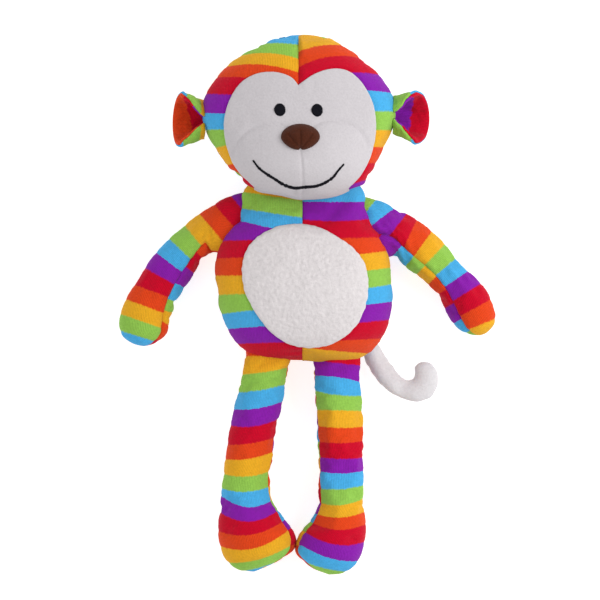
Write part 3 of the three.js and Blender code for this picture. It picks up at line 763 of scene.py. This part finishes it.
def make_limb(name, limb):
    """A limb's two covers and its stuffing."""
    skin = make_skin(limb["stations"], LIMB_BLUNT, two_seams(limb["seams"]))
    columns = skin.shape[1]
    half = columns // 2
    skin = work_cloth(skin, (0, half), limb["seed"], LIMB_LUMPS, limb.get("groove", GROOVE))
    normal = skin_normals(skin)
    start, end = (to_row(point) for point in limb["joint"])
    halves = (np.arange(0, half + 1), np.append(np.arange(half, columns), 0))
    for (part, (grain, shift)), chosen in zip(limb["parts"].items(), halves):
        piece = panel(f"{name}_{part}_cover", skin, normal, chosen, grain, shift)
        finish_piece(piece, VELOUR if grain else TAIL_WHITE, limb["slot"], [f"{name}_{part}"])
        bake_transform(piece)
    inside = filling(f"{name}_filling", skin, normal)
    finish_piece(inside, FIBRE, "fibre", [f"{name}_stuffing"])
    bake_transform(inside)


# ---- torso
TORSO_SEAM_X = -2.6
TORSO_SIDE_Z = 31  # mm, just above the side seams
BLUNT = 2.3  # power of the torso's and the head's rims, a little squarer than an ellipse
TORSO_LUMPS = (22, 0.6)
TORSO_SINK = (1.6, 0.3, 2.2)  # how far the covers sink under the patch, from where inside it, how steeply
SKY = 300  # mm, above everything
BROW = 60  # mm, the height from which a missed point is looked for
BIG_FILLING_STEP = 4  # columns and rings of the skin from one point of the stuffing to the next
BELLY_MIDDLE = (-1.5, 10.5)
BELLY = [
    (-3.7, 56), (9.5, 53.2), (23, 46.5), (35.5, 37.5), (43.5, 26), (46.2, 12), (44.5, -3), (38.5, -17.5),
    (28, -28.3), (14.5, -34.5), (0, -35.8), (-15, -32), (-28, -22), (-38.5, -8), (-45, 5), (-47.3, 17),
    (-46.5, 29), (-41, 41), (-29.5, 50.3), (-17, 54.8), (-3.7, 56),
]


def bvh_of(skin):
    """A search tree of a skin, for rays."""
    rows, columns = skin.shape[:2]
    return BVHTree.FromPolygons([Vector(p) for p in skin.reshape(-1, 3)], grid_faces(rows, columns, True))


def drape(tree, x, y):
    """The point on a skin straight under a plan point, in mm, and the skin's normal there."""
    hit, normal, _, _ = tree.ray_cast(Vector((x, y, SKY)), Vector((0, 0, -1)))
    if hit is None:
        hit, normal, _, _ = tree.find_nearest(Vector((x, y, BROW)))
    return np.array(hit), np.array(normal if normal.z > 0 else -normal)


def groove(away, *cuts):
    """Depth of a groove at each distance from its line. Each cut is a depth and a width in mm."""
    return sum(depth * np.exp(-((away / width) ** 2)) for depth, width in cuts)


def polar_grid(rings, outline, find):
    """Two grids from an outline in to its middle. find() takes a point and its share of the way out."""
    pairs = np.array([[find(point, 1 - i / (rings - 1)) for point in outline] for i in range(rings)])
    return pairs[:, :, 0], pairs[:, :, 1]


def rolled_edge(distance, width, low, high):
    """Height of a panel whose edge turns under, from low at the edge to high at width inside it."""
    share = np.clip(distance / width, 0, 1)
    return low + (high - low) * np.sqrt(np.clip(1 - (1 - share) ** 2, 0, 1))


def bare_share(skin, front, edge):
    """0 where another panel is sewn on in front, 1 where the covers are bare."""
    return np.where(front, np.clip(-inside_outline(skin, edge) / BARE_WIDTH, 0, 1), 1.0)


def sunk(skin, normal, front, edge, most, start, rate):
    """A skin let down under a panel that is sewn on in front."""
    depth = inside_outline(skin, edge)
    dip = np.where(front, most / (1 + np.exp(-(depth - start) * rate)), 0)
    return skin - normal * dip[..., None]


def quarter_seams(skin):
    """Columns of a skin's four seams."""
    return [k * skin.shape[1] // 4 for k in range(4)]


def four_covers(name, skin, normal, back_shift, join):
    """The front and back panels on both sides. back_shift is added to the backs' stripe counts."""
    columns = skin.shape[1]
    _, top, side, under = quarter_seams(skin)
    quarters = {
        "front_left": np.arange(0, top + 1),
        "front_right": np.arange(top, side + 1),
        "back_right": np.arange(side, under + 1),
        "back_left": np.append(np.arange(under, columns), 0),
    }
    for part, chosen in quarters.items():
        face, side_name = part.split("_")
        shift = back_shift[side_name] if face == "back" else 0
        piece = panel(f"{name}_{part}_cover", skin, normal, chosen, f"{name}_{side_name}", shift)
        slot = "stripes" if side_name == "right" else "stripes_cool"
        join(finish_piece(piece, VELOUR, slot, [f"{name}_{part}"]))


def on_torso(piece):
    """Lets a piece ride on the torso."""
    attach(piece, "torso")


def make_torso():
    """The torso's four covers, its stuffing and the belly patch."""
    skin = make_skin(TORSO, BLUNT, four_seams(TORSO_SEAM_X, BLUNT))
    edge = smooth(BELLY, 200)[:-1]
    bare = bare_share(skin, skin[..., 2] > TORSO_SIDE_Z, edge)
    skin = work_cloth(skin, quarter_seams(skin), 11, TORSO_LUMPS, bare=bare)
    normal = skin_normals(skin)
    inside = filling("body_filling", skin, normal, BIG_FILLING_STEP)
    on_torso(finish_piece(inside, FIBRE, "fibre", ["body_stuffing"]))
    covers = sunk(skin, normal, skin[..., 2] > TORSO_SIDE_Z, edge, *TORSO_SINK)
    four_covers("body", covers, normal, {"right": 2, "left": 3}, on_torso)
    on_torso(finish_piece(fleece_patch(bvh_of(skin), edge), FLEECE, "fleece", ["belly_patch"]))


PATCH_RINGS, PATCH_SPOKES = 62, 330
PATCH_RADIUS = 45.5  # mm, on average
PATCH_EDGE = (3.5, -1.2, 1.7)  # mm: width of the rolled edge, its height, and the pile's height
CURLS = {"size": 2.6, "height": 0.42, "loose_size": 7.0, "loose_height": 0.25}  # mm


def fleece_patch(under, edge):
    """The belly patch: curly fleece laid on the torso, its edge turned under."""
    closed = np.vstack([edge, edge[:1]])
    outline = resample(np.column_stack([closed, np.zeros(len(closed))]), PATCH_SPOKES + 1)[:-1, :2]
    middle = np.array(BELLY_MIDDLE)

    def find(point, share):
        ragged = 1 + 0.012 * noise.noise(Vector((*(point * 0.25), 0)))
        return drape(under, *(middle + (point - middle) * share * ragged))

    outer, facing = polar_grid(PATCH_RINGS, outline, find)
    from_edge = np.linspace(0, PATCH_RADIUS, PATCH_RINGS)
    curls = CURLS["height"] * rough(outer, CURLS["size"], 21, 2)
    loose = CURLS["loose_height"] * rough(outer, CURLS["loose_size"], 22, 1)
    height = np.minimum(from_edge / 3, 1)[:, None] * (curls + loose)
    height += rolled_edge(from_edge, *PATCH_EDGE)[:, None]
    top = outer + facing * height[..., None]
    return sheet_solid("belly_patch_fleece", top, outer - facing * 1.5, {"rib": height}, wrap=True)


# ---- head
HEAD_CENTRE = np.array([-5.0, 122.0, 44.0])
FACE_MIDDLE = (-5.0, 118.0)
FACE_EDGE = [
    (-5.8, 157.1), (-10.3, 162.6), (-17.3, 165.8), (-28.5, 167), (-39.8, 164.4), (-48.2, 158.8),
    (-55.2, 149), (-58.9, 139.2), (-60.6, 127.9), (-59.2, 115.3), (-55.3, 102.8), (-49.3, 93),
    (-43.4, 87), (-38, 82.2),
]
FACE_EDGE_LEFT = [
    (-5.8, 157.1), (-2, 160), (5.2, 164.8), (15, 168.5), (24.8, 169.3), (33.3, 166.5), (40.3, 160.2),
    (45.9, 151.8), (49.6, 143.4), (51.6, 132.1), (51.4, 121), (49.2, 109.7), (45.2, 99.1), (39.3, 89.3),
    (31.2, 81.3),
]
CHIN_EDGE = [  # with heights, since the face is turned under here
    (32, 81, 57.5), (20.5, 77.3, 59.3), (8.5, 74.6, 60.3), (-3.2, 73.3, 60.8), (-11.5, 74.6, 60.3),
    (-22.8, 77.3, 59.3), (-38.5, 82.2, 58),
]
MUZZLE = {"at": (-5, 104), "size": (43, 26), "rise": 5.5, "from_z": 55, "over": 15}
DARTS = [
    [(-13, 125), (-24, 127.5), (-38, 125.5), (-48, 118), (-53, 108)],
    [(4, 126), (14, 130.5), (27, 130), (38, 124), (45, 113)],
]
CHIN_SEAM = [(-4.3, 108), (-3, 96), (-2.5, 84), (-3, 76)]
EYES = {"right": (-19.2, 138.6), "left": (8.0, 138.3)}
EYE_SIZE = (4.1, 4.9)
NOSE = {"at": (-4.1, 118.6), "size": (14.4, 9.8), "rise": 8.5}
MOUTH = [
    (-38.6, 101.5), (-34.1, 95.6), (-28.5, 91.4), (-22.9, 87.9), (-15.9, 83.6), (-7.5, 81.3), (-1.8, 81.9),
    (8, 82.9), (16.4, 86.6), (19.9, 89.3), (23.4, 93.9), (27.7, 98.7),
]
HEAD_SEAM_X = -5.6
HEAD_SIDE = [(74, 60), (97, 49), (111, 43), (194, 40)]  # y and z just above the side seams
HEAD_LUMPS = (22, 0.5)
HEAD_SINK = (1.9, 0.2, 2.4)
NECK = ((-3, 82, 34), (-3, 96, 40.4))  # plan mm, a stretch at the neck; the head's pieces are not bent over it
FACE_RINGS, FACE_SPOKES = 62, 300
FACE_EDGE_ROLL = (3, -1.3, 0.8)  # mm: width of the rolled edge, its height, and the face's height
DART_CUTS = ((0.9, 1.6), (0.5, 5))
CHIN_CUTS = ((0.8, 1.2),)
NOSE_CUTS = ((0.9, 0.9), (0.5, 2.5))
NOSE_RINGS, NOSE_SPOKES = 34, 120


def distance_to_line(points, line):
    """Distance in plan mm from each point to a smooth line through the given points."""
    dense = smooth(line, 60)
    flat = points.reshape(-1, points.shape[-1])[:, :2]
    away = np.sqrt(((flat[:, None, :] - dense[None]) ** 2).sum(axis=2).min(axis=1))
    return away.reshape(points.shape[:-1])


def inside_outline(points, outline):
    """Distance in plan mm inside a closed outline, negative outside it."""
    x, y = points[..., 0], points[..., 1]
    within = np.zeros(x.shape, bool)
    away = np.full(x.shape, 1e9)
    for a, b in zip(outline, np.roll(outline, -1, axis=0)):
        crosses = (a[1] > y) != (b[1] > y)
        with np.errstate(divide="ignore", invalid="ignore"):
            at = (b[0] - a[0]) * (y - a[1]) / (b[1] - a[1]) + a[0]
        within ^= crosses & (x < at)
        span = b - a
        t = np.clip(((x - a[0]) * span[0] + (y - a[1]) * span[1]) / max(span @ span, 1e-12), 0, 1)
        away = np.minimum(away, np.hypot(x - a[0] - t * span[0], y - a[1] - t * span[1]))
    return np.where(within, away, -away)


def face_outline():
    """The heart-shaped edge of the face in plan mm, in three parts: left from its dip, chin, right."""
    right = smooth(FACE_EDGE, 60)
    left = smooth(FACE_EDGE_LEFT, 60)
    chin = smooth(CHIN_EDGE, 40)[1:-1]
    return left, chin, right[::-1]


def raise_muzzle(skin):
    """Lifts the front of a skin over the muzzle."""
    off = (skin[..., :2] - np.array(MUZZLE["at"])) / np.array(MUZZLE["size"])
    in_front = np.clip((skin[..., 2] - MUZZLE["from_z"]) / MUZZLE["over"], 0, 1)
    skin[..., 2] += MUZZLE["rise"] * np.exp(-((off**2).sum(axis=2) ** 1.4)) * in_front


def make_head():
    """The head's four covers, its stuffing and the face."""
    skin = make_skin(HEAD, BLUNT, four_seams(HEAD_SEAM_X, BLUNT))
    raise_muzzle(skin)
    left, chin, right = face_outline()
    edge = np.vstack([left, chin[:, :2], right[:-1]])
    front = skin[..., 2] > np.interp(skin[..., 1], *zip(*HEAD_SIDE))
    skin = work_cloth(skin, quarter_seams(skin), 31, HEAD_LUMPS, bare=bare_share(skin, front, edge))
    normal = skin_normals(skin)
    inside = filling("head_filling", skin, normal, BIG_FILLING_STEP)
    on_neck(finish_piece(inside, FIBRE, "fibre", ["head_stuffing"]))
    covers = sunk(skin, normal, front, edge, *HEAD_SINK)
    four_covers("head", covers, normal, {"right": 2, "left": 1}, on_neck)
    over = bvh_of(make_face(bvh_of(skin)))
    make_nose(over)
    for side, at in EYES.items():
        eye = satin_disc(f"eye_{side}_stitching", over, at, EYE_SIZE)
        on_neck(finish_piece(eye, THREAD, "thread", [f"eye_{side}"]))
    on_neck(finish_piece(satin_line("mouth_stitching", over, MOUTH), THREAD, "thread", ["mouth"]))


def on_neck(piece):
    """Bakes a head piece's transform into its mesh."""
    to_row(NECK[0])
    to_row(NECK[1])
    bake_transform(piece)


def make_face(under):
    """The white face, laid on the head's skin out to the heart-shaped edge. Returns its surface."""
    left, chin, right = face_outline()
    left = [drape(under, x, y)[0] for x, y in left]
    right = [drape(under, x, y)[0] for x, y in right[:-1]]
    edge = resample(np.vstack([left, chin, right, left[:1]]), FACE_SPOKES + 1)[:-1]
    middle = drape(under, *FACE_MIDDLE)[0]

    def find(point, share):
        direction = Vector(middle + (point - middle) * share - HEAD_CENTRE).normalized()
        hit, normal, _, _ = under.ray_cast(Vector(HEAD_CENTRE), direction)
        return np.array(hit), np.array(normal if normal.dot(direction) > 0 else -normal)

    outer, facing = polar_grid(FACE_RINGS, edge, find)
    span = np.linalg.norm(edge - middle, axis=1).mean()
    rise = rolled_edge(np.linspace(0, 1, FACE_RINGS) * span, *FACE_EDGE_ROLL)
    height = np.repeat(rise[:, None], FACE_SPOKES, axis=1)
    for dart in DARTS:
        height -= groove(distance_to_line(outer, dart), *DART_CUTS)
    height -= groove(distance_to_line(outer, CHIN_SEAM), *CHIN_CUTS)
    height += 0.12 * rough(outer, 2.0, 41)
    top = outer + facing * height[..., None]
    face = sheet_solid("face_panel_velour", top, top - facing * CLOTH, {"rib": height}, wrap=True)
    on_neck(finish_piece(face, WHITE, "white", ["face_panel"]))
    return top


def make_nose(over):
    """A brown velour pad, drawn in by a centre line and two darts that meet at its lower edge."""
    cx, cy = NOSE["at"]
    width, height = NOSE["size"]

    def find(angle, share):
        narrow = 1 - 0.16 * max(-math.sin(angle), 0) ** 1.5
        x = cx + width * share * math.cos(angle) * narrow
        on, _ = drape(over, x, cy + height * share * math.sin(angle))
        dome = NOSE["rise"] * math.sqrt(max(1 - share**2.4, 0)) - 0.8
        return on + (0, 0, dome), on - (0, 0, 1.4)

    top, base = polar_grid(NOSE_RINGS, np.arange(NOSE_SPOKES) * 2 * math.pi / NOSE_SPOKES, find)
    low = (cx, cy - height + 1.0)
    for end in ((cx, cy + 4), (cx - 8.5, cy + 1.5), (cx + 8.5, cy + 1.5)):
        between = ((low[0] + end[0]) / 2, (low[1] + end[1]) / 2 - 0.3)
        top[..., 2] -= groove(distance_to_line(top, [low, between, end]), *NOSE_CUTS)
    top[..., 2] += 0.1 * rough(top, 1.6, 51)
    pad = sheet_solid("nose_pad_velour", top, base, {"rib": top[..., 2]}, wrap=True)
    on_neck(finish_piece(pad, BROWN, "nose", ["nose_pad"]))
    inside = ((top + base) / 2 + (0, 0, 0.6))[6:]
    core = sheet_solid("nose_filling", inside, inside - (0, 0, 1.2), wrap=True)
    on_neck(finish_piece(core, FIBRE, "fibre", ["nose_stuffing"]))


THREAD_STEPS, THREAD_SIDES = 7, 6
DISC_STITCH = {"pitch": 0.42, "radius": 0.36, "lift": 0.75}  # mm
LINE_STITCH = {"radius": 0.24, "lift": 0.5}  # mm


def tube_faces(base):
    """The faces of one thread, whose rings of points start at number base."""
    end = base + (THREAD_STEPS - 1) * THREAD_SIDES
    faces = [tuple(base + v for v in face) for face in grid_faces(THREAD_STEPS, THREAD_SIDES, True)]
    faces.append(tuple(base + k for k in reversed(range(THREAD_SIDES))))
    faces.append(tuple(end + k for k in range(THREAD_SIDES)))
    return faces


def threads(name, over, pairs, radius, lift):
    """Stitches: each a short arched thread from one plan point to another, lying on the face."""
    vertices, faces = [], []
    for a, b in pairs:
        a, b = np.array(a, float), np.array(b, float)
        across = np.array([-(b - a)[1], (b - a)[0]]) / max(np.linalg.norm(b - a), 1e-9)
        faces += tube_faces(len(vertices))
        for t in np.arange(THREAD_STEPS) / (THREAD_STEPS - 1):
            p = a + (b - a) * t
            on, _ = drape(over, *p)
            arch = lift * math.sin(math.pi * t) ** 0.5 if 0 < t < 1 else -0.25
            fat = radius * (0.55 + 0.45 * math.sin(math.pi * t))
            for k in range(THREAD_SIDES):
                angle = 2 * math.pi * k / THREAD_SIDES
                x, y = p + across * fat * math.cos(angle)
                vertices.append(to_row((x, y, on[2] + arch + fat * math.sin(angle))))
    return new_mesh_object(name, vertices, faces)


def satin_disc(name, over, at, size):
    """Satin stitch across a disc: rows of threads side by side."""
    pitch = DISC_STITCH["pitch"]
    pairs = []
    for i in range(int(2 * size[0] / pitch)):
        x = -size[0] + (i + 0.5) * pitch
        half = size[1] * math.sqrt(max(1 - (x / size[0]) ** 2, 0))
        ragged = 0.25 * noise.noise(Vector((i * 0.9, at[0], 3)))
        pairs.append(((at[0] + x, at[1] + half + ragged), (at[0] + x + 0.25, at[1] - half * 1.04 - ragged)))
    return threads(name, over, pairs, DISC_STITCH["radius"], DISC_STITCH["lift"])


def satin_line(name, over, line):
    """Satin stitch along a line: short slanting threads, narrow at both ends."""
    dense = resample(np.column_stack([smooth(line, 200), np.zeros(200)]), 230)[:, :2]
    tangent = np.gradient(dense, axis=0)
    tangent /= np.linalg.norm(tangent, axis=1)[:, None]
    pairs = []
    for i, (p, t) in enumerate(zip(dense, tangent)):
        part = i / (len(dense) - 1)
        width = 0.65 + 0.6 * math.sin(math.pi * part) ** 0.6
        width *= 1 + 0.45 * noise.noise(Vector((i * 0.21, 5, 0)))
        side = np.array([-t[1], t[0]]) * width + t * 0.25
        pairs.append((p - side, p + side))
    return threads(name, over, pairs, LINE_STITCH["radius"], LINE_STITCH["lift"])


# ---- ears
EARS = {
    "right": {
        "root": (-75.0, 131.6), "tip": (-97.8, 132), "width": 18.8, "bow": (0.26, 0.06), "crease": 0.42,
        "inner": (2.0, 2.5, 0.42, 0.45, 0.2), "most": 2.92, "back": (3.75, 1.5),
    },
    "left": {
        "root": (64.5, 134.9), "tip": (90.6, 133.2), "width": 18.6, "bow": (0.40, 0.0), "crease": 0.1,
        "inner": (1.0, 1.8, 0.46, 0.28, 0.1), "most": 1.93, "back": (4.05, 1.15),
    },
}
EAR_HEIGHT = 41  # mm, of the root's middle
EAR_ROOT = 12.0  # mm, radius of the curl at the root
EAR_ROWS, EAR_COLUMNS = 32, 73
EAR_JOINT = (2, 10)  # mm out from the root, a stretch over which the ear is not bent


def fold_ear(ear, away, s, t, middle, facing):
    """How far each point of an ear is moved by its crease, the ripples at its root and its waves."""
    beside = t - ear["crease"]
    crease = np.exp(-((beside / 0.09) ** 2)) - 0.8 * np.exp(-(((beside + 0.24) / 0.12) ** 2))
    crease = 1.5 * crease * np.sin(math.pi * np.clip(s * 1.1, 0, 1)) ** 0.7
    ripple = 0.8 * np.sin(3.2 * math.pi * t + away) * np.exp(-s / 0.3) * s**0.5
    wave = 1.2 * rough(middle, 8, 61 + away)
    return middle + facing * (crease + ripple + wave)[..., None]


def ear_stripes(ear, s, t, jag):
    """Stripe counts of an ear's back and of its inside."""
    base, per, edge, tilt_up, tilt_down = ear["inner"]
    inside = base + per * (s - edge - np.where(t > 0, tilt_up, tilt_down) * t) + jag
    return ear["back"][0] + ear["back"][1] * s + 0 * t, np.clip(inside, 0.1, ear["most"])


def make_ear(side, ear):
    """A round flap of two panels, its upper and lower edges curled forwards to meet at the root."""
    s = np.linspace(0, 1, EAR_ROWS)[:, None]
    t = np.linspace(-1, 1, EAR_COLUMNS)[None, :]
    radius = EAR_ROOT + (ear["width"] - EAR_ROOT) * s
    curl = (2.95 - 1.3 * s**1.2) * t
    reach = s * (1 - ear["bow"][0] * t**2 - ear["bow"][1] * t)
    (x0, y0), (x1, y1) = ear["root"], ear["tip"]
    away = -1 if x1 < 0 else 1
    x, y = x0 + (x1 - x0) * reach, y0 + (y1 - y0) * s + radius * np.sin(curl)
    middle = np.stack([x, y, EAR_HEIGHT - radius * np.cos(curl) + 5.5 * s], axis=2)
    facing = np.cross(np.gradient(middle, axis=0), np.gradient(middle, axis=1))
    facing /= np.maximum(np.linalg.norm(facing, axis=2, keepdims=True), 1e-9)
    if facing[EAR_ROWS // 2, EAR_COLUMNS // 2, 2] > 0:
        facing = -facing
    middle = fold_ear(ear, away, s, t, middle, facing)
    puff = rolled_edge(np.minimum(1.001 - s, 1.001 - np.abs(t)), 0.12, 0.15, 1.35)
    back, inside = ear_stripes(ear, s, t, 0.12 * rough(middle, 2.5, 71 + away))
    start, end = (to_row((x0 + out * away, y0, EAR_HEIGHT)) for out in EAR_JOINT)
    for part, sign, count, slot in (("back", 1, back, "stripes_cool"), ("front", -1, inside, "stripes")):
        outer = middle + facing * (sign * (puff + 0.9))[..., None]
        values = {"stripe": count, "rib": radius * curl}
        piece = sheet_solid(f"ear_{side}_{part}_cover", outer, middle + facing * sign * 0.12, values)
        finish_piece(piece, VELOUR, slot, [f"ear_{side}_{part}"])
        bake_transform(piece)


# ---- stage
LIGHTS = {
    "key_light": {"at": (1.6, 0.4, 1.6), "size": 1.2, "energy": 30},
    "fill_light": {"at": (-1.3, -0.6, 1.6), "size": 1.6, "energy": 6},
}
WORLD_STRENGTH = 0.69
FLOOR_LOOK = {
    "Base Color": (0.6, 0.6, 0.6, 1), "Roughness": 1.0, "Specular IOR Level": 0.0,
    "Emission Color": (1, 1, 1, 1), "Emission Strength": 0.74,
}
CAMERA_DISTANCE = 12.0  # metres, far enough that the toy's depth hardly changes its outline
CAMERA_WIDTH = 0.4404  # metres across the picture, at CAMERA_FOCUS above the floor
CAMERA_FOCUS = 0.025
SENSOR = 36  # mm


def place(name, data, at):
    """A new object at a place in metres."""
    thing = bpy.data.objects.new(name, data)
    thing.location = at
    bpy.context.scene.collection.objects.link(thing)
    return thing


def make_floor():
    """A white floor, which is there for the picture only."""
    bpy.ops.mesh.primitive_plane_add(size=60, location=(0, 0, 0))
    floor = bpy.context.object
    floor.name = "floor"
    material, _, shader = node_tree("floor_white")
    for key, value in FLOOR_LOOK.items():
        shader.inputs[key].default_value = value
    floor.data.materials.append(material)


def make_lights():
    """An even white world and two soft lamps that point at the toy."""
    world = bpy.data.worlds.new("studio")
    world.use_nodes = True
    world.node_tree.nodes["Background"].inputs["Color"].default_value = (1, 1, 1, 1)
    world.node_tree.nodes["Background"].inputs["Strength"].default_value = WORLD_STRENGTH
    bpy.context.scene.world = world
    for name, look in LIGHTS.items():
        light = bpy.data.lights.new(name, "AREA")
        light.size = look["size"]
        light.energy = look["energy"]
        lamp = place(name, light, look["at"])
        lamp.rotation_euler = (-Vector(look["at"])).to_track_quat("-Z", "Y").to_euler()


def make_camera():
    """Straight above the toy."""
    camera = bpy.data.cameras.new("camera")
    camera.sensor_width = SENSOR
    camera.lens = SENSOR * CAMERA_DISTANCE / CAMERA_WIDTH
    camera.clip_end = 50
    x, y, _ = to_row((-4.4, -0.4, 0))
    bpy.context.scene.camera = place("camera", camera, (x, y, CAMERA_FOCUS + CAMERA_DISTANCE))


make_torso()
make_head()
for ear_side, ear_shape in EARS.items():
    make_ear(ear_side, ear_shape)
for limb_name, limb_plan in LIMBS.items():
    make_limb(limb_name, limb_plan)
make_floor()
make_lights()
make_camera()
bpy.context.scene.view_settings.view_transform = "Standard"
